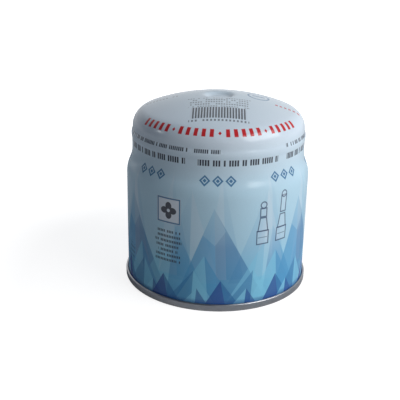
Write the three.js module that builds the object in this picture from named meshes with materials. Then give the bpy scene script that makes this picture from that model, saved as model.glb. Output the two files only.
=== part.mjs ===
import * as THREE from 'three';

// Pierceable gas canister: a deep drawn tinplate shell with a necked top, closed below by a seamed end.
// It is sealed and full, so it is one solid of revolution. Millimetres, +Z up.
// The origin is the middle of the circle that the can stands on.

// Overall sizes
const BODY_DIAMETER = 90;
const CAN_HEIGHT = 93;

// Plate thicknesses, which set the width of the double seam, and the free space between its folds
const SHELL_PLATE = 0.3;
const END_PLATE = 0.4;
const SEAM_SLACK = 0.15;

// Double seam, and the flat ring that the can stands on
const SEAM_HEIGHT = 3.6;
const SEAM_FOOT_FLAT = 0.75;

// Domed end inside the seam
const CHUCK_WALL_HEIGHT = 3.9;
const END_CORNER_RADIUS = 1.5;
const END_DOME_RISE = 8.6;

// Neck that an appliance's collar closes on: its depth, its straight land, and the flare below
const NECK_DRAW_IN = 2.8;
const NECK_LAND = 3.5;
const FLARE_LENGTH = 13.5;

// Bead between neck and shoulder
const BEAD_PROUD = 0.3;
const BEAD_LENGTH = 6.5;

// Shoulder, a little inside the neck, and the domed top
const SHOULDER_DRAW_IN = 0.3;
const SHOULDER_RADIUS = 9.3;
const TOP_DOME_RADIUS = 100;

// Dimple that an appliance's needle pierces
const DIMPLE_DIAMETER = 16.8;
const DIMPLE_FLOOR_DIAMETER = 7;
const DIMPLE_DEPTH = 1.4;

// Faceting: how far a facet may lie inside the true round, and the facets along one blend
const CHORD_TOLERANCE = 0.035;
const BLEND_FACETS = 6;

// Radii of the wall, from the body up to the dimple
const bodyRadius = BODY_DIAMETER / 2;
const neckRadius = bodyRadius - NECK_DRAW_IN;
const beadRadius = neckRadius + BEAD_PROUD;
const shoulderRadius = neckRadius - SHOULDER_DRAW_IN;
const dimpleRadius = DIMPLE_DIAMETER / 2;

// The end's wall fits inside the shell's, and the seam has three layers of end plate and two of shell plate
const chuckRadius = bodyRadius - SHELL_PLATE - END_PLATE;
const seamThickness = 3 * END_PLATE + 2 * SHELL_PLATE + SEAM_SLACK;
const seamRadius = chuckRadius + seamThickness;

// The top's sphere passes through the dimple's rim, and the shoulder's circle touches it from inside
const topDomeCentreZ = CAN_HEIGHT - Math.sqrt(TOP_DOME_RADIUS ** 2 - dimpleRadius ** 2);
const shoulderCentreR = shoulderRadius - SHOULDER_RADIUS;
const shoulderZ = topDomeCentreZ + Math.sqrt((TOP_DOME_RADIUS - SHOULDER_RADIUS) ** 2 - shoulderCentreR ** 2);

function facetsAcross(radius, turn) {
	const turnOfOneFacet = 2 * Math.acos(1 - CHORD_TOLERANCE / radius);
	return Math.max(2, Math.ceil(Math.abs(turn) / turnOfOneFacet));
}

// An arc in the section plane, with its angles counted from the outward radius towards +Z
function arc(centreR, centreZ, radius, from, to) {
	const curve = new THREE.EllipseCurve(centreR, centreZ, radius, radius, from, to, to < from);
	return curve.getPoints(facetsAcross(radius, to - from));
}

// A smooth step of the wall from one radius to another, upright at both ends
function wallBlend(fromR, fromZ, toR, toZ) {
	const middleZ = (fromZ + toZ) / 2;
	const curve = new THREE.CubicBezierCurve(
		new THREE.Vector2(fromR, fromZ),
		new THREE.Vector2(fromR, middleZ),
		new THREE.Vector2(toR, middleZ),
		new THREE.Vector2(toR, toZ),
	);
	return curve.getPoints(BLEND_FACETS);
}

// A smooth step of the top plate from one height to another, level at both ends
function plateBlend(fromR, fromZ, toR, toZ) {
	const middleR = (fromR + toR) / 2;
	const curve = new THREE.CubicBezierCurve(
		new THREE.Vector2(fromR, fromZ),
		new THREE.Vector2(middleR, fromZ),
		new THREE.Vector2(middleR, toZ),
		new THREE.Vector2(toR, toZ),
	);
	return curve.getPoints(BLEND_FACETS);
}

// Underside, from the axis out: the end's dome, hollow from below, and its corner with the chuck wall
function domedEnd() {
	const cornerCentreR = chuckRadius - END_CORNER_RADIUS;
	const drop = END_CORNER_RADIUS + END_DOME_RISE;
	// The dome's sphere has the corner's circle inside it, touching
	const domeRadius = (cornerCentreR ** 2 + drop ** 2 - END_CORNER_RADIUS ** 2) / (2 * END_DOME_RISE);
	const domeCentreZ = CHUCK_WALL_HEIGHT + drop - domeRadius;
	const touchAngle = Math.atan2(CHUCK_WALL_HEIGHT - domeCentreZ, cornerCentreR);
	return [
		...arc(0, domeCentreZ, domeRadius, Math.PI / 2, touchAngle),
		...arc(cornerCentreR, CHUCK_WALL_HEIGHT, END_CORNER_RADIUS, touchAngle, 0),
	];
}

// Double seam: a foot with rounded edges, an upright face, and a top rolled in to the wall
function doubleSeam() {
	const footRadius = (seamThickness - SEAM_FOOT_FLAT) / 2;
	const rollRadius = (seamRadius - bodyRadius) / 2;
	return [
		...arc(chuckRadius + footRadius, footRadius, footRadius, -Math.PI, -Math.PI / 2),
		...arc(seamRadius - footRadius, footRadius, footRadius, -Math.PI / 2, 0),
		...arc(seamRadius - rollRadius, SEAM_HEIGHT - rollRadius, rollRadius, 0, Math.PI),
	];
}

// Flare from the straight body in to the neck, the neck's land, and the bead above it
function neck() {
	const beadFootZ = shoulderZ - BEAD_LENGTH;
	const beadCrestZ = shoulderZ - BEAD_LENGTH / 2;
	const landFootZ = beadFootZ - NECK_LAND;
	return [
		...wallBlend(bodyRadius, landFootZ - FLARE_LENGTH, neckRadius, landFootZ),
		...wallBlend(neckRadius, beadFootZ, beadRadius, beadCrestZ),
		...wallBlend(beadRadius, beadCrestZ, shoulderRadius, shoulderZ),
	];
}

// Shoulder and domed top, up to the dimple's rim
function domedTop() {
	const touchAngle = Math.atan2(shoulderZ - topDomeCentreZ, shoulderCentreR);
	const rimAngle = Math.acos(dimpleRadius / TOP_DOME_RADIUS);
	return [
		...arc(shoulderCentreR, shoulderZ, SHOULDER_RADIUS, 0, touchAngle),
		...arc(0, topDomeCentreZ, TOP_DOME_RADIUS, touchAngle, rimAngle),
	];
}

// Piercing dimple, with a flat floor
function piercingDimple() {
	const floorZ = CAN_HEIGHT - DIMPLE_DEPTH;
	return [
		...plateBlend(dimpleRadius, CAN_HEIGHT, DIMPLE_FLOOR_DIAMETER / 2, floorZ),
		new THREE.Vector2(0, floorZ),
	];
}

// The section runs from the underside's middle out round the seam, and up the wall to the top's middle
function canSection() {
	const runs = [...domedEnd(), ...doubleSeam(), ...neck(), ...domedTop(), ...piercingDimple()];
	const samePlace = 1e-6;
	return runs.filter((point, i) => i === 0 || point.distanceTo(runs[i - 1]) > samePlace);
}

function canister() {
	const quarterTurn = Math.PI / 2;
	const segments = 4 * facetsAcross(bodyRadius, quarterTurn);
	const solid = new THREE.LatheGeometry(canSection(), segments);
	// The lathe turns its outline about Y, and the can stands along Z
	solid.rotateX(quarterTurn);
	const printedTinplate = new THREE.MeshStandardMaterial({ color: 0x7ea9c6, roughness: 0.28, metalness: 0.2 });
	const mesh = new THREE.Mesh(solid, printedTinplate);
	mesh.name = 'canister';
	return mesh;
}

const part = new THREE.Group();
part.add(canister());

export default part;
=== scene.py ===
"""Pierceable gas canister: a printed tinplate shell and a bare seamed end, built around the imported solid."""

import math

import bmesh
import bpy
from bpy.props import FloatProperty, FloatVectorProperty, IntProperty, PointerProperty
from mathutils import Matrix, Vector


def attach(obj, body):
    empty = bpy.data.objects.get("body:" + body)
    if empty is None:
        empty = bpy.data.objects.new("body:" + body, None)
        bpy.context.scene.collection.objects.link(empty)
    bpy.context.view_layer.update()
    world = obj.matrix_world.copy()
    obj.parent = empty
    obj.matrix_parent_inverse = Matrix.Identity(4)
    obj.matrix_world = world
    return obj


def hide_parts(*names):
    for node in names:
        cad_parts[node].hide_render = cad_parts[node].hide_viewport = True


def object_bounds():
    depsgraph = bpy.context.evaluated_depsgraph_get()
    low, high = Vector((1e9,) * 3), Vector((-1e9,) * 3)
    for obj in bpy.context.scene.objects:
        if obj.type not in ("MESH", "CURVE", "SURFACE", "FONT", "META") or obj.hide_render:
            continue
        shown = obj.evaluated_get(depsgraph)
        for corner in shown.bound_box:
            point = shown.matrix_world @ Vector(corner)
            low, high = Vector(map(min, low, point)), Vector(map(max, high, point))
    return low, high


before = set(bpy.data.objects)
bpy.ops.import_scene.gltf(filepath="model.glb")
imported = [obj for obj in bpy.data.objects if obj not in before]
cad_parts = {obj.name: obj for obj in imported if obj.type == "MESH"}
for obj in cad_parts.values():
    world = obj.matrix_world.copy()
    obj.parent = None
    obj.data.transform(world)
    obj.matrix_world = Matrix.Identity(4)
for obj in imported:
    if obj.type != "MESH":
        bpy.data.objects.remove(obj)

CAD_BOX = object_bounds()

bl_info = {
    "name": "Gas Canister",
    "version": (1, 0, 0),
    "blender": (4, 5, 0),
    "location": "View3D > Sidebar > Canister",
    "description": "Builds a pierceable gas canister with a printed shell, a seamed end and a studio",
    "category": "Add Mesh",
}

MM = 0.001


# Colour helpers

def linear(red, green, blue):
    """A colour given as 0 to 255 screen values, as the linear triple that shaders and properties take."""
    def channel(value):
        share = value / 255
        return share / 12.92 if share <= 0.04045 else ((share + 0.055) / 1.055) ** 2.4
    return (channel(red), channel(green), channel(blue))


def opaque(colour):
    return (*colour, 1.0)


# Settings

class CanisterSizes(bpy.types.PropertyGroup):
    """Sizes of the plates and their folds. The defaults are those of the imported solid."""

    body_radius: FloatProperty(
        name="Body radius", description="Outer radius of the straight body",
        default=0.045, unit="LENGTH", precision=5)
    can_height: FloatProperty(
        name="Can height", description="Height of the dimple's rim above the floor",
        default=CAD_BOX[1].z - CAD_BOX[0].z, unit="LENGTH", precision=5)
    shell_plate: FloatProperty(
        name="Shell plate", description="Thickness of the drawn shell",
        default=0.0003, unit="LENGTH", precision=5)
    end_plate: FloatProperty(
        name="End plate", description="Thickness of the pressed end",
        default=0.0004, unit="LENGTH", precision=5)
    seam_slack: FloatProperty(
        name="Seam slack", description="Free space between the five layers of the seam, in all",
        default=0.00015, unit="LENGTH", precision=5)
    seam_height: FloatProperty(
        name="Seam height", description="Height of the double seam",
        default=0.0036, unit="LENGTH", precision=5)
    neck_draw_in: FloatProperty(
        name="Neck depth", description="How far the neck lies inside the body",
        default=0.0028, unit="LENGTH", precision=5)
    neck_land: FloatProperty(
        name="Neck land", description="Height of the straight part of the neck",
        default=0.0035, unit="LENGTH", precision=5)
    flare_length: FloatProperty(
        name="Flare length", description="Height over which the body draws in to the neck",
        default=0.0135, unit="LENGTH", precision=5)
    bead_proud: FloatProperty(
        name="Bead", description="How far the bead under the shoulder stands out from the neck",
        default=0.0003, unit="LENGTH", precision=5)
    bead_length: FloatProperty(
        name="Bead length", description="Height of the bead under the shoulder",
        default=0.0065, unit="LENGTH", precision=5)
    shoulder_draw_in: FloatProperty(
        name="Shoulder depth", description="How far the shoulder lies inside the neck",
        default=0.0003, unit="LENGTH", precision=5)
    shoulder_radius: FloatProperty(
        name="Shoulder radius", description="Radius of the rounding between wall and top",
        default=0.0093, unit="LENGTH", precision=5)
    dome_radius: FloatProperty(
        name="Dome radius", description="Radius of the top's dome",
        default=0.1, unit="LENGTH", precision=5)
    dimple_radius: FloatProperty(
        name="Dimple radius", description="Radius of the dimple's rim",
        default=0.0084, unit="LENGTH", precision=5)
    dimple_floor_radius: FloatProperty(
        name="Dimple floor radius", description="Radius of the dimple's flat floor",
        default=0.0035, unit="LENGTH", precision=5)
    dimple_depth: FloatProperty(
        name="Dimple depth", description="Depth of the dimple that the needle pierces",
        default=0.0014, unit="LENGTH", precision=5)
    chuck_wall: FloatProperty(
        name="Chuck wall", description="Height of the end's upright wall inside the seam",
        default=0.0039, unit="LENGTH", precision=5)
    end_corner: FloatProperty(
        name="End corner", description="Radius between the chuck wall and the end's dome",
        default=0.0015, unit="LENGTH", precision=5)
    end_dome_rise: FloatProperty(
        name="End dome rise", description="Rise of the end's dome into the can",
        default=0.0086, unit="LENGTH", precision=5)
    spin_steps: IntProperty(
        name="Spin steps", description="Faces in one turn round the can", default=240, min=24)


class PrintColours(bpy.types.PropertyGroup):
    """Inks of the printed shell."""

    pale: FloatVectorProperty(
        name="Pale ground", description="Ground of the top and the neck",
        subtype="COLOR", default=linear(206, 219, 230))
    sky: FloatVectorProperty(
        name="Sky", description="Ground of the body's upper half",
        subtype="COLOR", default=linear(164, 203, 222))
    aqua: FloatVectorProperty(
        name="Aqua", description="Light facets near the foot",
        subtype="COLOR", default=linear(124, 198, 226))
    azure: FloatVectorProperty(
        name="Azure", description="Middle blue facets",
        subtype="COLOR", default=linear(68, 148, 196))
    slate: FloatVectorProperty(
        name="Slate", description="Muted blue facets",
        subtype="COLOR", default=linear(22, 106, 164))
    navy: FloatVectorProperty(
        name="Navy", description="Deep facets at the foot",
        subtype="COLOR", default=linear(6, 70, 148))
    red: FloatVectorProperty(
        name="Red", description="Blocks round the shoulder",
        subtype="COLOR", default=linear(190, 16, 26))
    ink: FloatVectorProperty(
        name="Ink", description="Fine dark dashes",
        subtype="COLOR", default=linear(22, 26, 46))
    motif: FloatVectorProperty(
        name="Motif blue", description="Groups of small lozenges on the flare, and the panel's frame",
        subtype="COLOR", default=linear(36, 104, 150))


class StudioSettings(bpy.types.PropertyGroup):
    """Light levels and the camera's lens."""

    key_power: FloatProperty(
        name="Key light", description="Power of the large soft lamp at the right",
        default=3.4, unit="POWER")
    back_power: FloatProperty(
        name="Back light", description="Power of the soft lamp behind the can",
        default=0.9, unit="POWER")
    rear_power: FloatProperty(
        name="Rear light", description="Power of the soft lamp behind the can, at its left",
        default=1.0, unit="POWER")
    side_power: FloatProperty(
        name="Side lamp", description="Power of the small lamp at the left",
        default=0.12, unit="POWER")
    lens: FloatProperty(
        name="Lens", description="Focal length of the camera in millimetres", default=66.17)
    floor_radius: FloatProperty(
        name="Floor radius", description="Radius of the pale floor", default=3.0, unit="LENGTH")


# Shader maths

class Field:
    """A shader socket as a value in Python arithmetic. Each step adds the Math node that works it out."""

    def __init__(self, socket):
        self.socket = socket

    def math(self, operation, *others, clamp=False):
        made = self.socket.id_data.nodes.new("ShaderNodeMath")
        made.operation = operation
        made.use_clamp = clamp
        for slot, value in zip(made.inputs, (self, *others)):
            feed(slot, value)
        return Field(made.outputs[0])

    def __add__(self, other):
        return self.math("ADD", other)

    __radd__ = __add__

    def __sub__(self, other):
        return self.math("SUBTRACT", other)

    def __rsub__(self, other):
        return self.math("MULTIPLY_ADD", -1.0, other)

    def __mul__(self, other):
        return self.math("MULTIPLY", other)

    __rmul__ = __mul__

    def __truediv__(self, other):
        return self.math("DIVIDE", other)

    def __neg__(self):
        return self.math("MULTIPLY", -1.0)

    def __abs__(self):
        return self.math("ABSOLUTE")

    def lowest(self, other):
        return self.math("MINIMUM", other)

    def highest(self, other):
        return self.math("MAXIMUM", other)

    def edge(self, soft):
        """1 where the value is above zero, 0 below, with an edge as wide as soft."""
        return self.math("MULTIPLY_ADD", 1 / soft, 0.5, clamp=True)


def feed(socket, value):
    """Links a field or socket to a node's socket, or writes a number, vector or colour on it."""
    if isinstance(value, Field):
        value = value.socket
    if isinstance(value, bpy.types.NodeSocket):
        value.id_data.links.new(value, socket)
    else:
        socket.default_value = value


class Surface:
    """The nodes of one material or world."""

    def __init__(self, owner):
        owner.use_nodes = True
        self.nodes = owner.node_tree.nodes
        self.nodes.clear()

    def node(self, kind, settings=None, inputs=None):
        made = self.nodes.new(kind)
        for name, value in (settings or {}).items():
            setattr(made, name, value)
        for name, value in (inputs or {}).items():
            feed(made.inputs[name], value)
        return made

    def measure(self, operation, *vectors):
        """The number that a vector operation gives, such as a dot product or a length."""
        made = self.node("ShaderNodeVectorMath", {"operation": operation}, dict(enumerate(vectors)))
        return Field(made.outputs["Value"])

    def join(self, x, y, z):
        return self.node("ShaderNodeCombineXYZ", None, {0: x, 1: y, 2: z}).outputs[0]

    def mix(self, share, first, second):
        """A colour that is first where share is 0 and second where it is 1."""
        made = self.node("ShaderNodeMix", {"data_type": "RGBA"}, {0: share, 6: first, 7: second})
        return made.outputs[2]

    def ramp(self, value, stops):
        """A colour that follows (place, colour) stops along value."""
        made = self.node("ShaderNodeValToRGB")
        elements = made.color_ramp.elements
        for _ in stops[2:]:
            elements.new(0.5)
        for element, (place, colour) in zip(elements, stops):
            element.position = place
            element.color = colour
        feed(made.inputs[0], value)
        return made.outputs[0]

    def noise(self, vector, scale, detail=2.0, roughness=0.5):
        made = self.node("ShaderNodeTexNoise", None, {
            "Vector": vector, "Scale": scale, "Detail": detail, "Roughness": roughness})
        return Field(made.outputs["Fac"])

    def finish(self, kind, shader):
        output = self.node(kind)
        feed(output.inputs["Surface"], shader)


# Printed shell: inks

class Print:
    """The unrolled print. Along is degrees round the can from the front. Up is millimetres above the floor,
    and right and back are millimetres from the can's axis."""

    # Width of an inked edge, in millimetres, and the share of the dashes that is left out
    SOFT = 0.16
    GAPS = 0.17
    # A fine dash's share of its pitch and of its row's pitch, and the shortest row's share of the longest
    FINE_WIDTH = 0.64
    FINE_HEIGHT = 0.52
    SHORT_ROW = 0.72

    def __init__(self, surface):
        self.surface = surface
        place = surface.node("ShaderNodeTexCoord").outputs["Object"]
        self.place = place
        split = surface.node("ShaderNodeSeparateXYZ", None, {0: place})
        self.right = Field(split.outputs["X"]) / MM
        self.back = Field(split.outputs["Y"]) / MM
        self.up = Field(split.outputs["Z"]) / MM
        turn = self.right.math("ARCTAN2", -self.back)
        self.along = turn * math.degrees(1)
        self.colour = None

    def lay(self, mask, ink, strength=1.0):
        share = mask if strength == 1.0 else mask * strength
        self.colour = self.surface.mix(share, self.colour, ink)

    def bars(self, x, y, half_x, half_y, pitch, share, ink, strength, shown):
        """Even bars in a box. They are laid where shown is 1."""
        inside = comb(x, pitch, share).lowest(box_distance(x, y, half_x, half_y))
        self.lay(inside.edge(self.SOFT) * shown, ink, strength)

    def dashes(self, x, y, half_x, half_y, pitch, share, ink, strength, seed, shown=1.0):
        """A row of plain dashes with gaps here and there."""
        cell = (x / pitch + seed * 100).math("ROUND")
        inked = self.white(cell, seed).math("GREATER_THAN", self.GAPS)
        self.bars(x, y, half_x, half_y, pitch, share, ink, strength, inked * shown)

    def dash_block(self, x, y, half_x, half_y, pitch, row_pitch, ink, strength, seed, shown=1.0):
        """Rows of fine dashes, of uneven length, with gaps here and there."""
        cells_to_a_row = 37
        row = (y / row_pitch).math("ROUND")
        cell = (x / pitch + seed * 100).math("ROUND")
        inked = self.white(cell + row * cells_to_a_row, seed).math("GREATER_THAN", self.GAPS)
        reach = half_x * (self.SHORT_ROW + self.white(row, seed) * (1 - self.SHORT_ROW))
        inside = comb(x, pitch, self.FINE_WIDTH).lowest(comb(y, row_pitch, self.FINE_HEIGHT))
        inside = inside.lowest(reach - abs(x)).lowest(half_y - abs(y))
        self.lay(inside.edge(self.SOFT) * inked * shown, ink, strength)

    def white(self, cell, seed):
        """A number from 0 to 1 for each cell."""
        made = self.surface.node("ShaderNodeTexWhiteNoise", {"noise_dimensions": "1D"}, {"W": cell + seed})
        return Field(made.outputs["Value"])

    def facet(self, sheet, corners, ink, strength, fade=None):
        """A see-through convex patch of the sheet. Fade gives the heights where it is gone and full."""
        middle_x = sum(x for x, _ in corners) / len(corners)
        middle_y = sum(y for _, y in corners) / len(corners)
        inside = None
        for (x0, y0), (x1, y1) in zip(corners, corners[1:] + corners[:1]):
            across, rise = y1 - y0, x0 - x1
            length = math.hypot(across, rise)
            across, rise = across / length, rise / length
            offset = -(across * x0 + rise * y0)
            if across * middle_x + rise * middle_y + offset < 0:
                across, rise, offset = -across, -rise, -offset
            side = self.surface.measure("DOT_PRODUCT", sheet, (across, rise, offset))
            inside = side if inside is None else inside.lowest(side)
        mask = inside.edge(self.SOFT)
        if fade:
            gone, full = fade
            mask = mask * self.up.math("MULTIPLY_ADD", 1 / (full - gone), -gone / (full - gone), clamp=True)
        self.lay(mask, ink, strength)


def comb(value, pitch, share):
    """Distance inside even bars that stand across value, of which each fills its share of the pitch."""
    return share * pitch / 2 - abs(value.math("WRAP", pitch / 2, -pitch / 2))


def box_distance(x, y, half_x, half_y):
    """Distance inside a plain box: positive inside, negative outside."""
    return (half_x - abs(x)).lowest(half_y - abs(y))


def distance(x, y):
    """Distance from the place where x and y are 0."""
    return (x * x + y * y).math("SQRT")


# Millimetres to a degree round the body, the neck and the ring of blocks on the shoulder
BODY_DEGREE = math.radians(45.0)
NECK_DEGREE = math.radians(42.3)
SHOULDER_DEGREE = 0.69

# Heights of the can's top and of the print on it, in millimetres above the floor
TOP_HEIGHT = CAD_BOX[1].z / MM
BLOCK_RING_HEIGHT = 84.3
DOME_PRINT_FOOT = 82.0
FINE_ROW_HEIGHT = 76.6
BOLD_ROW_HEIGHT = 71.4
LOZENGE_HEIGHT = 63.4
STACK_FOOT_HEIGHT = 32.5
# Top of the dark band over the seam, which is partly the print's dark foot and partly painted shade
FOOT_INK_AND_SHADE_HEIGHT = 5.0

# Middles of the panel and of the dashes under it and at its left, in degrees and millimetres
PANEL_ANGLE, PANEL_HEIGHT = -29.0, 47.6
PANEL_DASHES_HEIGHT = 30.0
SIDE_DASHES_ANGLE, SIDE_DASHES_HEIGHT = -66.0, 18.0

# Grounds and a line that have no ink of their own
UPPER_BODY_GROUND = opaque(linear(180, 212, 228))
NECK_GROUND = opaque(linear(194, 215, 228))
TOP_GROUND = opaque(linear(199, 215, 226))
PANEL_GROUND = opaque(linear(214, 222, 230))
OUTLINE_INK = opaque(linear(26, 52, 96))


def wrapped(value, centre, period):
    """The value's distance from the nearest of the places centre + n periods, with its sign."""
    return value.math("WRAP", centre + period / 2, centre - period / 2) - centre


# Overlapping plain peaks round the body, each with a light and a dark face. Every row repeats by itself.
# A row is its repeat and its middle in degrees, then its faces: corners in millimetres from the middle and
# above the floor, ink, strength, and the heights between which the face fades in.
PEAK_ROWS = (
    (30.0, 7.0, (
        ([(-10.5, 16), (-3, 67), (0, 16)], "pale", 0.24, None),
        ([(-3, 67), (0, 16), (8, 16)], "azure", 0.20, (70, 30)),
    )),
    (45.0, 27.0, (
        ([(-15, 14), (3, 59), (2, 14)], "azure", 0.26, (62, 30)),
        ([(3, 59), (2, 14), (16.5, 14)], "pale", 0.26, None),
    )),
    (60.0, 4.0, (
        ([(-23, 2), (-4, 51), (-2, 2)], "azure", 0.74, (60, 36)),
        ([(-4, 51), (-2, 2), (23, 2)], "slate", 0.62, (60, 32)),
        ([(-4, 51), (-9, 38), (-3.4, 33), (1.5, 40.2)], "sky", 0.40, None),
    )),
    (60.0, 33.0, (
        ([(-22, 2), (2, 41), (-3, 2)], "aqua", 0.46, (46, 24)),
        ([(2, 41), (-3, 2), (21, 2)], "azure", 0.66, (46, 22)),
    )),
    (45.0, -5.0, (
        ([(-16, 2), (-1, 28), (1, 2)], "aqua", 0.62, None),
        ([(-1, 28), (1, 2), (14, 2)], "azure", 0.66, None),
    )),
    (36.0, 22.0, (
        ([(-13, 2), (1, 20), (0, 2)], "slate", 0.52, None),
        ([(1, 20), (0, 2), (12, 2)], "aqua", 0.60, None),
    )),
    (36.0, 6.0, (
        ([(-11, 0), (-2, 15.5), (1, 0)], "navy", 0.86, None),
        ([(-2, 15.5), (1, 0), (9, 0)], "slate", 0.74, None),
    )),
    (30.0, -12.0, (
        ([(-8, 0), (1, 11), (0, 0)], "aqua", 0.70, None),
        ([(1, 11), (0, 0), (8, 0)], "navy", 0.66, None),
    )),
)


def print_ground(art, inks):
    """Ground from the foot to the top, the peaks on it, and a dark band just above the seam, which is partly
    the print's dark foot and partly painted shade from the groove over the seam.
    """
    art.colour = art.surface.ramp(art.up / TOP_HEIGHT, [
        (0.0, inks["azure"]), (0.14, inks["aqua"]), (0.36, inks["sky"]), (0.62, UPPER_BODY_GROUND),
        (0.75, NECK_GROUND), (0.87, inks["pale"]), (1.0, TOP_GROUND)])
    for repeat, middle, faces in PEAK_ROWS:
        sheet = art.surface.join(wrapped(art.along, middle, repeat) * BODY_DEGREE, art.up, 1.0)
        for corners, ink, strength, fade in faces:
            art.facet(sheet, corners, inks[ink], strength, fade)
    # Dark band over the seam: partly the print's dark foot, partly painted shade where the seam's groove
    # shades the shell
    band_softness = 1.4
    art.lay((FOOT_INK_AND_SHADE_HEIGHT - art.up).edge(band_softness), inks["navy"], 0.5)


def print_block_ring(art, inks):
    """Red blocks in fives round the shoulder, a small lozenge between fives, at the front and the back."""
    slots, slot_width, group, hard = 23, 5.2, 6, 0.01
    half_width, half_height, lozenge_reach = 0.9, 1.42, 0.75
    turn = wrapped(art.along, centre=1.0, period=180.0) + slots * slot_width / 2
    slot = (turn / slot_width).math("FLOOR")
    x = (turn - (slot + 0.5) * slot_width) * SHOULDER_DEGREE
    y = art.up - BLOCK_RING_HEIGHT
    # The last slot of each group holds a lozenge
    is_lozenge = (slot.math("WRAP", group, 0.0) - (group - 1.5)).edge(hard)
    block = box_distance(x, y, half_width, half_height)
    lozenge = lozenge_reach - (abs(x) + abs(y))
    shape = block * (1 - is_lozenge) + lozenge * is_lozenge
    in_ring = turn.lowest(slots * slot_width - turn).edge(hard)
    art.lay(shape.edge(art.SOFT) * in_ring, inks["red"])


def print_neck_rows(art, inks):
    """A fine row of dark dashes on the bead, and a bolder one on the neck's land."""
    fine = wrapped(art.along, centre=-35.8, period=120.0) * NECK_DEGREE
    art.dashes(
        fine, art.up - FINE_ROW_HEIGHT, half_x=27.5, half_y=0.85, pitch=0.95, share=0.66,
        ink=inks["ink"], strength=0.95, seed=3.0)
    bold = wrapped(art.along, centre=14.0, period=60.0) * NECK_DEGREE
    art.dashes(
        bold, art.up - BOLD_ROW_HEIGHT, half_x=19.2, half_y=1.4, pitch=1.2, share=0.68,
        ink=inks["ink"], strength=0.97, seed=11.0)


def print_lozenges(art, inks):
    """Eight groups of three small lozenges round the flare, each with a dot in it."""
    half_size, half_pitch, line, dot = 2.5, 2.9, 1.0, 0.9
    half_group = 3 * half_pitch - 0.1
    x = wrapped(art.along, centre=0.4, period=45.0) * NECK_DEGREE
    inside = half_size - (abs(x.math("WRAP", half_pitch, -half_pitch)) + abs(art.up - LOZENGE_HEIGHT))
    lines = (line / 2 - abs(inside - line / 2)).highest(inside - (half_size - dot))
    art.lay(lines.lowest(half_group - abs(x)).edge(art.SOFT), inks["motif"], 0.9)


def print_panel(art, inks):
    """Pale framed panel with a plain four-petalled mark, rows of dashes under it, and some at the left."""
    half_size, frame_inset, half_line = 6.3, 0.5, 0.35
    x = (art.along - PANEL_ANGLE) * BODY_DEGREE
    y = art.up - PANEL_HEIGHT
    panel = box_distance(x, y, half_size, half_size)
    art.lay(panel.edge(art.SOFT), PANEL_GROUND, 0.9)
    art.lay((half_line - abs(panel - frame_inset)).edge(art.SOFT), inks["motif"], 0.9)

    notch_radius, petal_length, eye_radius = 2.1, 2.0, 0.8
    out = distance(x, y)
    petals = abs((x.math("ARCTAN2", y) * 2.0).math("COSINE")) * petal_length
    art.lay((notch_radius + petals - out).lowest(out - eye_radius).edge(art.SOFT), inks["ink"], 0.92)

    art.dash_block(
        x + 0.4, art.up - PANEL_DASHES_HEIGHT, half_x=7.4, half_y=8.4, pitch=0.9, row_pitch=2.4,
        ink=inks["ink"], strength=0.92, seed=5.0)
    side = (art.along - SIDE_DASHES_ANGLE) * BODY_DEGREE
    art.dash_block(
        side, art.up - SIDE_DASHES_HEIGHT, half_x=5.0, half_y=4.6, pitch=1.25, row_pitch=2.4,
        ink=inks["ink"], strength=0.5, seed=23.0)


# Stacks of outlines. Each is its middle in degrees, how far its disc is above its foot, how much longer its
# tall box is, and its lean.
STACKS = ((28.5, 19.0, 0.0, 0.0), (42.0, 22.5, 1.0, 0.05))


def print_outlines(art, inks):
    """Two stacks of plain outlines: a box, a taper, a taller box and a disc. The second leans."""
    half_width, half_height, half_line = 3.0, 3.2, 0.3
    taper_foot_half, narrowing = 2.6, 0.16
    tall_half_width, tall_half_height, tall_drop = 1.6, 2.0, 3.6
    disc_radius, half_band, half_band_line = 1.5, 2.4, 0.2
    for centre, disc_height, longer, lean in STACKS:
        y = art.up - STACK_FOOT_HEIGHT
        x = (art.along - centre) * BODY_DEGREE - y * lean
        box = box_distance(x, y - half_height, half_width, half_height)
        above_box = y - 2 * half_height
        taper = (taper_foot_half - abs(x) - above_box * narrowing).lowest(
            box_distance(x, above_box - half_height, half_width, half_height))
        tall_box = box_distance(
            x, y - (disc_height - tall_drop - longer), tall_half_width, tall_half_height + 2 * longer)
        disc = disc_radius - distance(x, y - disc_height)
        for form in (box, taper, tall_box, disc):
            art.lay(form.edge(art.SOFT), inks["pale"], 0.3)
            art.lay((half_line - abs(form)).edge(art.SOFT), OUTLINE_INK, 0.8)
        band = (half_band_line - abs(y - half_height)).lowest(half_band - abs(x))
        art.lay(band.edge(art.SOFT), OUTLINE_INK, 0.6)


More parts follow.
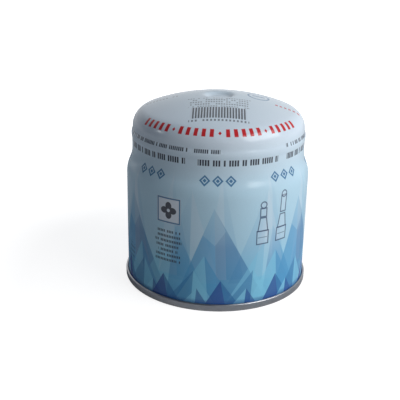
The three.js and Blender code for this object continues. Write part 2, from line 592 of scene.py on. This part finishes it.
def print_dome(art, inks):
    """On the dome: even bars at the front, rows of dashes by them, short runs at the sides, and an oval."""
    right, front = art.right, -art.back
    on_top = (art.up - DOME_PRINT_FOOT).edge(0.4)
    art.bars(
        right, front - 24.6, half_x=12.6, half_y=5.0, pitch=1.3, share=0.6,
        ink=inks["ink"], strength=0.9, shown=on_top)
    art.dashes(
        right, front - 31.4, half_x=13.6, half_y=0.75, pitch=1.7, share=0.5,
        ink=inks["ink"], strength=0.75, seed=2.0, shown=on_top)
    art.dash_block(
        right, front - 13.4, half_x=15.5, half_y=5.6, pitch=1.2, row_pitch=2.7,
        ink=inks["ink"], strength=0.62, seed=8.0, shown=on_top)
    art.dashes(
        right + 27.0, front + 1.5, half_x=9.0, half_y=1.0, pitch=1.6, share=0.6,
        ink=inks["ink"], strength=0.45, seed=31.0, shown=on_top)
    # Six whole bars of a comb that is counted from the axis
    red_bars = comb(right, pitch=2.1, share=0.6).lowest(box_distance(right - 32.5, front - 5.2, 6.0, 1.1))
    art.lay(red_bars.edge(art.SOFT) * on_top, inks["red"], 0.8)

    oval_radius, squash, half_line = 5.0, 0.8, 0.5
    x, y = right - 19.0, (front + 3.5) * squash
    oval = oval_radius - distance(x, y)
    art.lay((half_line - abs(oval)).edge(art.SOFT) * on_top, inks["motif"], 0.7)
    art.lay(box_distance(x, y, 3.0, 0.8).edge(art.SOFT) * on_top, inks["motif"], 0.7)


INK_NAMES = ("pale", "sky", "aqua", "azure", "slate", "navy", "red", "ink", "motif")
PRINT_LAYERS = (
    print_ground, print_block_ring, print_neck_rows, print_lozenges, print_panel, print_outlines, print_dome)


def whole_print(surface, colours):
    """The print with all its layers, each laid over those before it."""
    art = Print(surface)
    inks = {name: opaque(getattr(colours, name)) for name in INK_NAMES}
    for layer in PRINT_LAYERS:
        layer(art, inks)
    return art


# Pieces

# Faces along the parts of an outline: a corner, a small blend, a roll or shoulder, and a long sweep
CORNER_STEPS = 8
DIMPLE_STEPS = 12
ROLL_STEPS = 16
SWEEP_STEPS = 20

# The seam's flat foot, the free height above the shell's hook, and the height of the end's hook tip
SEAM_FOOT_FLAT = 0.75 * MM
HOOK_HEADROOM = 0.6 * MM
END_HOOK_TIP = 1.35 * MM

# Inside this radius lies the end's dome, and outside it the seam
SEAM_INSIDE = 44.7 * MM


def ring_arc(centre, radius, start, end, steps):
    """Points of an arc in the section plane. Its angles are degrees from the outward radius to the top."""
    turn = [math.radians(start + (end - start) * i / steps) for i in range(steps + 1)]
    return [(centre[0] + radius * math.cos(a), centre[1] + radius * math.sin(a)) for a in turn]


def blend(start, end, steps, upright):
    """A smooth step between two points, upright at both ends or level at both ends."""
    points = []
    for i in range(steps + 1):
        t = i / steps
        eased = 3 * t * t - 2 * t ** 3
        even = 1.5 * t - 1.5 * t * t + t ** 3
        share_r, share_z = (eased, even) if upright else (even, eased)
        points.append((start[0] + (end[0] - start[0]) * share_r, start[1] + (end[1] - start[1]) * share_z))
    return points


def shell_outline(sizes):
    """Printed side of the shell, from the tip of its hook in the seam up to the middle of the dimple."""
    body = sizes.body_radius
    neck = body - sizes.neck_draw_in
    bead = neck + sizes.bead_proud
    shoulder = neck - sizes.shoulder_draw_in
    dome_centre = sizes.can_height - math.sqrt(sizes.dome_radius ** 2 - sizes.dimple_radius ** 2)
    corner_r = shoulder - sizes.shoulder_radius
    shoulder_z = dome_centre + math.sqrt((sizes.dome_radius - sizes.shoulder_radius) ** 2 - corner_r ** 2)
    bead_foot = shoulder_z - sizes.bead_length
    bead_crest = shoulder_z - sizes.bead_length / 2
    land_foot = bead_foot - sizes.neck_land
    flare_foot = land_foot - sizes.flare_length
    touch = math.degrees(math.atan2(shoulder_z - dome_centre, corner_r))
    rim = math.degrees(math.acos(sizes.dimple_radius / sizes.dome_radius))
    layer_gap = sizes.seam_slack / 3
    fold = (sizes.end_plate + 2 * layer_gap) / 2
    fold_z = sizes.end_plate + layer_gap + sizes.shell_plate + fold
    hook_tip = sizes.seam_height - sizes.end_plate - HOOK_HEADROOM
    floor_z = sizes.can_height - sizes.dimple_depth
    return [
        (body + 2 * fold, hook_tip),
        *ring_arc((body + fold, fold_z), fold, 0, -180, CORNER_STEPS),
        *blend((body, flare_foot), (neck, land_foot), SWEEP_STEPS, upright=True),
        *blend((neck, bead_foot), (bead, bead_crest), CORNER_STEPS, upright=True),
        *blend((bead, bead_crest), (shoulder, shoulder_z), CORNER_STEPS, upright=True)[1:],
        *ring_arc((corner_r, shoulder_z), sizes.shoulder_radius, 0, touch, ROLL_STEPS)[1:],
        *ring_arc((0.0, dome_centre), sizes.dome_radius, touch, rim, SWEEP_STEPS)[1:],
        *blend(
            (sizes.dimple_radius, sizes.can_height), (sizes.dimple_floor_radius, floor_z),
            DIMPLE_STEPS, upright=False)[1:],
        (0.0, floor_z),
    ]


def end_outline(sizes):
    """Outer side of the end, from the middle of its dome out round the foot and up to its hook's tip."""
    body = sizes.body_radius
    chuck = body - sizes.shell_plate - sizes.end_plate
    seam = chuck + 3 * sizes.end_plate + 2 * sizes.shell_plate + sizes.seam_slack
    layer_gap = sizes.seam_slack / 3
    corner_r = chuck - sizes.end_corner
    drop = sizes.end_corner + sizes.end_dome_rise
    dome = (corner_r ** 2 + drop ** 2 - sizes.end_corner ** 2) / (2 * sizes.end_dome_rise)
    dome_centre = sizes.chuck_wall + drop - dome
    touch = math.degrees(math.atan2(sizes.chuck_wall - dome_centre, corner_r))
    foot = (seam - chuck - SEAM_FOOT_FLAT) / 2
    roll = (seam - body - layer_gap) / 2
    roll_z = sizes.seam_height - roll
    return [
        *ring_arc((0.0, dome_centre), dome, 90, touch, SWEEP_STEPS),
        *ring_arc((corner_r, sizes.chuck_wall), sizes.end_corner, touch, 0, CORNER_STEPS)[1:],
        *ring_arc((chuck + foot, foot), foot, 180, 270, CORNER_STEPS),
        *ring_arc((seam - foot, foot), foot, 270, 360, CORNER_STEPS),
        *ring_arc((seam - roll, roll_z), roll, 0, 180, ROLL_STEPS),
        (seam - 2 * roll, END_HOOK_TIP),
    ]


def settle_order(bm):
    """Puts edges and faces in the same order each run. A spin leaves them in an order that changes."""
    bm.verts.index_update()
    for parts in (bm.edges, bm.faces):
        ranked = sorted(parts, key=lambda part: sorted(vert.index for vert in part.verts))
        for i, part in enumerate(ranked):
            part.index = i
        parts.sort()


def spun(name, outline, steps, middle_faces_up):
    """An object whose mesh is the outline turned about Z."""
    bm = bmesh.new()
    verts = [bm.verts.new((r, 0.0, z)) for r, z in outline]
    edges = [bm.edges.new(pair) for pair in zip(verts, verts[1:])]
    bmesh.ops.spin(
        bm, geom=verts + edges, cent=(0, 0, 0), axis=(0, 0, 1), dvec=(0, 0, 0),
        angle=math.tau, steps=steps, use_merge=True, use_normal_flip=False, use_duplicate=False)
    bmesh.ops.remove_doubles(bm, verts=bm.verts, dist=1e-7)
    bmesh.ops.recalc_face_normals(bm, faces=bm.faces)
    settle_order(bm)
    middle = min(bm.faces, key=lambda face: face.calc_center_median().xy.length)
    if (middle.normal.z > 0) != middle_faces_up:
        bmesh.ops.reverse_faces(bm, faces=bm.faces)
    mesh = bpy.data.meshes.new(name)
    bm.to_mesh(mesh)
    bm.free()
    mesh.polygons.foreach_set("use_smooth", [True] * len(mesh.polygons))
    piece = bpy.data.objects.new(name, mesh)
    bpy.context.scene.collection.objects.link(piece)
    return piece


def spun_plate(name, outline, thickness, steps, middle_faces_up):
    """A plate turned about Z. The outline is its outer side, and its thickness lies behind that."""
    piece = spun(name, outline, steps, middle_faces_up)
    wall = piece.modifiers.new("Plate", "SOLIDIFY")
    wall.thickness = thickness
    wall.offset = -1.0
    wall.use_even_offset = True
    # The plate's inside and its cut edges take the piece's second material, where it has one
    wall.material_offset = 1
    wall.material_offset_rim = 1
    return piece


def printed_tinplate(colours):
    """Blue print under gloss varnish."""
    material = bpy.data.materials.new("printed_tinplate")
    surface = Surface(material)
    art = whole_print(surface, colours)
    # Ink laid a little unevenly, as fine specks and as broad clouds
    specks = surface.noise(art.place, scale=1900.0)
    clouds = surface.noise(art.place, scale=45.0, detail=3.0)
    art.lay((specks - 0.5).math("MULTIPLY_ADD", 1.1, 0.5, clamp=True), (0, 0, 0, 1), 0.07)
    art.lay(clouds, (1, 1, 1, 1), 0.05)
    peel = surface.noise(art.place, scale=700.0)
    bump = surface.node("ShaderNodeBump", None, {
        "Strength": 0.06, "Distance": 0.0002, "Height": peel.socket})
    shader = surface.node("ShaderNodeBsdfPrincipled", None, {
        "Base Color": art.colour, "Roughness": 0.4, "Metallic": 0.0, "Specular IOR Level": 0.0,
        "Coat Weight": 0.6, "Coat Roughness": 0.15, "Coat IOR": 1.5, "Normal": bump.outputs[0]})
    surface.finish("ShaderNodeOutputMaterial", shader.outputs[0])
    return material


def bare_tinplate():
    """Rolled tinplate, satin, with fine lines from the seaming rollers."""
    material = bpy.data.materials.new("bare_tinplate")
    surface = Surface(material)
    place = surface.node("ShaderNodeTexCoord").outputs["Object"]
    split = surface.node("ShaderNodeSeparateXYZ", None, {0: place})
    right, back, up = (Field(split.outputs[axis]) for axis in "XYZ")
    out = distance(right, back)

    # Rolling grain runs along X over the end, and the seaming rollers leave rings on the folds
    long_way, across, ring_scale = 60.0, 2600.0, 9000.0
    grain = surface.noise(
        surface.join(right * long_way, back * across, up * long_way), scale=1.0, detail=3.0)
    rings = surface.noise(surface.join(out * ring_scale, 0.0, up * ring_scale), scale=1.0)
    on_seam = (out - SEAM_INSIDE).edge(0.4 * MM)
    lines = grain * (1 - on_seam) + rings * on_seam
    spots = surface.noise(place, scale=260.0, detail=4.0, roughness=0.65)
    tone = surface.mix(spots, opaque(linear(150, 152, 158)), opaque(linear(182, 183, 186)))
    tone = surface.mix(lines * 0.16, tone, opaque(linear(92, 90, 92)))
    rough = lines * 0.16 + spots * 0.12 + 0.22
    bump = surface.node("ShaderNodeBump", None, {
        "Strength": 0.12, "Distance": 0.0001, "Height": lines.socket})
    shader = surface.node("ShaderNodeBsdfPrincipled", None, {
        "Base Color": tone, "Metallic": 1.0, "Roughness": rough, "Normal": bump.outputs[0]})
    surface.finish("ShaderNodeOutputMaterial", shader.outputs[0])
    return material


class CANISTER_OT_printed_shell(bpy.types.Operator):
    """Builds the drawn and printed shell, from its hook in the seam to the dimple"""

    bl_idname = "canister.printed_shell"
    bl_label = "Printed shell"

    def execute(self, context):
        sizes = context.scene.canister_sizes
        piece = spun_plate(
            "printed_shell", shell_outline(sizes), sizes.shell_plate, sizes.spin_steps, middle_faces_up=True)
        piece.data.materials.append(printed_tinplate(context.scene.canister_inks))
        piece.data.materials.append(bare_tinplate())
        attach(piece, "root")
        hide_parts("canister")
        return {"FINISHED"}


class CANISTER_OT_seamed_end(bpy.types.Operator):
    """Builds the bare end: its dome, chuck wall and the outer folds of the double seam"""

    bl_idname = "canister.seamed_end"
    bl_label = "Seamed end"

    def execute(self, context):
        sizes = context.scene.canister_sizes
        piece = spun_plate(
            "seamed_end", end_outline(sizes), sizes.end_plate, sizes.spin_steps, middle_faces_up=False)
        piece.data.materials.append(bpy.data.materials["bare_tinplate"])
        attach(piece, "root")
        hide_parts("canister")
        return {"FINISHED"}


# Studio

CAMERA_PLACE = (0, -0.350, 0.16905)
CAMERA_TARGET = (-0.00846, 0, 0.03836)
CAMERA_ROLL = math.radians(1.023)

# The world's light: the least from any way, what comes from everywhere, what is added from a side, and its
# colour. The left and the lower part are counted from a little past the middle.
FILL_LEAST = 0.02
FILL = 0.12
FILL_BEHIND = 0.09
FILL_RIGHT = 0.08
FILL_LEFT, LEFT_FROM = 0.14, 0.25
FILL_BELOW, BELOW_FROM = 0.6, 0.2
FILL_TINT = (0.88, 1.0, 1.24)

# The floor is open under the can, so that its hollow foot is lit when it is looked at from below
FLOOR_OPENING = 0.0435
FLOOR_STEPS = 96
FLOOR_TONE = 0.64
# For the camera the floor is a darker tone with a glow, which comes out white and softens the shadow
FLOOR_TONE_SEEN = 0.32
FLOOR_GLOW = 0.84
FLOOR_GLOW_FAR = 0.3
# How far from the can, in metres, the glow rises and mirror rays start to see it, each with its blend
GLOW_RISE, GLOW_BLEND = 0.16, 0.12
MIRRORED_FROM, MIRRORED_BLEND = 1.0, 0.8


def aimed(thing, place, target, roll=0.0):
    """Puts a lamp or the camera at a place, looking at a target."""
    thing.location = place
    look = (Vector(target) - Vector(place)).to_track_quat("-Z", "Y")
    thing.rotation_euler = look.to_euler()
    if roll:
        thing.rotation_euler.rotate_axis("Z", roll)


def soft_lamp(name, azimuth, elevation, distance, width, height, power, shines=True):
    """A rectangular lamp aimed at the can's middle. Azimuth is in degrees from the camera's side towards the
    right. A lamp that doesn't shine isn't seen in glossy things."""
    lamp = bpy.data.lights.new(name, "AREA")
    lamp.shape = "RECTANGLE"
    lamp.size = width
    lamp.size_y = height
    lamp.energy = power
    thing = bpy.data.objects.new(name, lamp)
    bpy.context.scene.collection.objects.link(thing)
    turn, rise = math.radians(azimuth), math.radians(elevation)
    middle = Vector((0, 0, 0.045))
    away = Vector((math.sin(turn) * math.cos(rise), -math.cos(turn) * math.cos(rise), math.sin(rise)))
    aimed(thing, middle + away * distance, middle)
    thing.visible_camera = False
    thing.visible_glossy = shines


def mirror_rays(rays):
    """1 for rays that a mirror or clear thing sends on."""
    return Field(rays.outputs["Is Glossy Ray"]).highest(Field(rays.outputs["Is Transmission Ray"]))


def studio_world():
    """White for the camera, and behind the can for mirror rays too. Elsewhere a cool, soft fill."""
    world = bpy.data.worlds.new("studio")
    surface = Surface(world)
    way = surface.node("ShaderNodeTexCoord").outputs["Generated"]
    split = surface.node("ShaderNodeSeparateXYZ", None, {0: way})
    right, back, up = (Field(split.outputs[axis]) for axis in "XYZ")
    rays = surface.node("ShaderNodeLightPath")
    below, left = (-up - BELOW_FROM).highest(0.0), (-right - LEFT_FROM).highest(0.0)
    level = (back * FILL_BEHIND + right * FILL_RIGHT + FILL).highest(FILL_LEAST)
    level = level + below * FILL_BELOW + left * FILL_LEFT
    behind = (back - 0.5).edge(0.5)
    seen = (mirror_rays(rays) * behind).highest(Field(rays.outputs["Is Camera Ray"]))
    fill = surface.join(*(level * tint for tint in FILL_TINT))
    colour = surface.mix(seen, fill, (1, 1, 1, 1))
    background = surface.node("ShaderNodeBackground", None, {"Color": colour, "Strength": 1.0})
    surface.finish("ShaderNodeOutputWorld", background.outputs[0])
    return world


def floor_material():
    """Pale and matt, and white to the camera."""
    material = bpy.data.materials.new("pale_floor")
    surface = Surface(material)
    place = surface.node("ShaderNodeTexCoord").outputs["Object"]
    away = surface.measure("LENGTH", place)
    rays = surface.node("ShaderNodeLightPath")
    camera = Field(rays.outputs["Is Camera Ray"])
    # Near the can, mirror rays see the floor as it is lit, so that the can's foot isn't washed out
    shown = camera.highest(mirror_rays(rays) * (away - MIRRORED_FROM).edge(MIRRORED_BLEND))
    glow = shown * ((away - GLOW_RISE).edge(GLOW_BLEND) * FLOOR_GLOW_FAR + FLOOR_GLOW)
    lit = FLOOR_TONE - camera * (FLOOR_TONE - FLOOR_TONE_SEEN)
    shader = surface.node("ShaderNodeBsdfPrincipled", None, {
        "Base Color": surface.join(lit, lit, lit), "Roughness": 0.9, "Specular IOR Level": 0.0,
        "Emission Color": surface.join(glow, glow, glow), "Emission Strength": 1.0})
    # Seen from below, the floor lets the camera look up at the can's foot
    under = Field(surface.node("ShaderNodeNewGeometry").outputs["Backfacing"]) * camera
    clear = surface.node("ShaderNodeBsdfTransparent")
    both = surface.node("ShaderNodeMixShader", None, {0: under, 1: shader.outputs[0], 2: clear.outputs[0]})
    surface.finish("ShaderNodeOutputMaterial", both.outputs[0])
    return material


class CANISTER_OT_studio(bpy.types.Operator):
    """Builds the pale floor, the soft lamps, the world and the camera"""

    bl_idname = "canister.studio"
    bl_label = "Studio"

    def execute(self, context):
        settings = context.scene.canister_studio
        ring = [(FLOOR_OPENING, 0.0), (settings.floor_radius, 0.0)]
        floor = spun("floor", ring, FLOOR_STEPS, middle_faces_up=True)
        floor.data.materials.append(floor_material())

        soft_lamp(
            "key_lamp", azimuth=63, elevation=35, distance=0.6, width=0.5, height=0.35,
            power=settings.key_power)
        soft_lamp(
            "back_lamp", azimuth=176, elevation=9, distance=0.7, width=0.6, height=0.3,
            power=settings.back_power, shines=False)
        soft_lamp(
            "rear_lamp", azimuth=-155, elevation=10, distance=0.7, width=0.5, height=0.3,
            power=settings.rear_power, shines=False)
        soft_lamp(
            "side_lamp", azimuth=-85, elevation=26, distance=0.6, width=0.06, height=0.06,
            power=settings.side_power)
        context.scene.world = studio_world()

        camera = bpy.data.cameras.new("camera")
        camera.lens = settings.lens
        camera.sensor_width = 36.0
        camera.clip_start = 0.01
        thing = bpy.data.objects.new("camera", camera)
        context.scene.collection.objects.link(thing)
        aimed(thing, CAMERA_PLACE, CAMERA_TARGET, CAMERA_ROLL)
        context.scene.camera = thing
        context.scene.view_settings.view_transform = "Standard"
        return {"FINISHED"}


class CANISTER_PT_panel(bpy.types.Panel):
    """Lists the canister's builders"""

    bl_label = "Canister"
    bl_idname = "CANISTER_PT_panel"
    bl_space_type = "VIEW_3D"
    bl_region_type = "UI"
    bl_category = "Canister"

    def draw(self, context):
        for builder in BUILDERS:
            self.layout.operator(builder.bl_idname)


BUILDERS = (CANISTER_OT_printed_shell, CANISTER_OT_seamed_end, CANISTER_OT_studio)
CLASSES = (CanisterSizes, PrintColours, StudioSettings, *BUILDERS, CANISTER_PT_panel)


def register():
    for each in CLASSES:
        bpy.utils.register_class(each)
    bpy.types.Scene.canister_sizes = PointerProperty(type=CanisterSizes)
    bpy.types.Scene.canister_inks = PointerProperty(type=PrintColours)
    bpy.types.Scene.canister_studio = PointerProperty(type=StudioSettings)


def unregister():
    del bpy.types.Scene.canister_studio
    del bpy.types.Scene.canister_inks
    del bpy.types.Scene.canister_sizes
    for each in reversed(CLASSES):
        bpy.utils.unregister_class(each)


def main():
    register()
    bpy.ops.canister.printed_shell()
    bpy.ops.canister.seamed_end()
    bpy.ops.canister.studio()


if __name__ == "__main__":
    main()
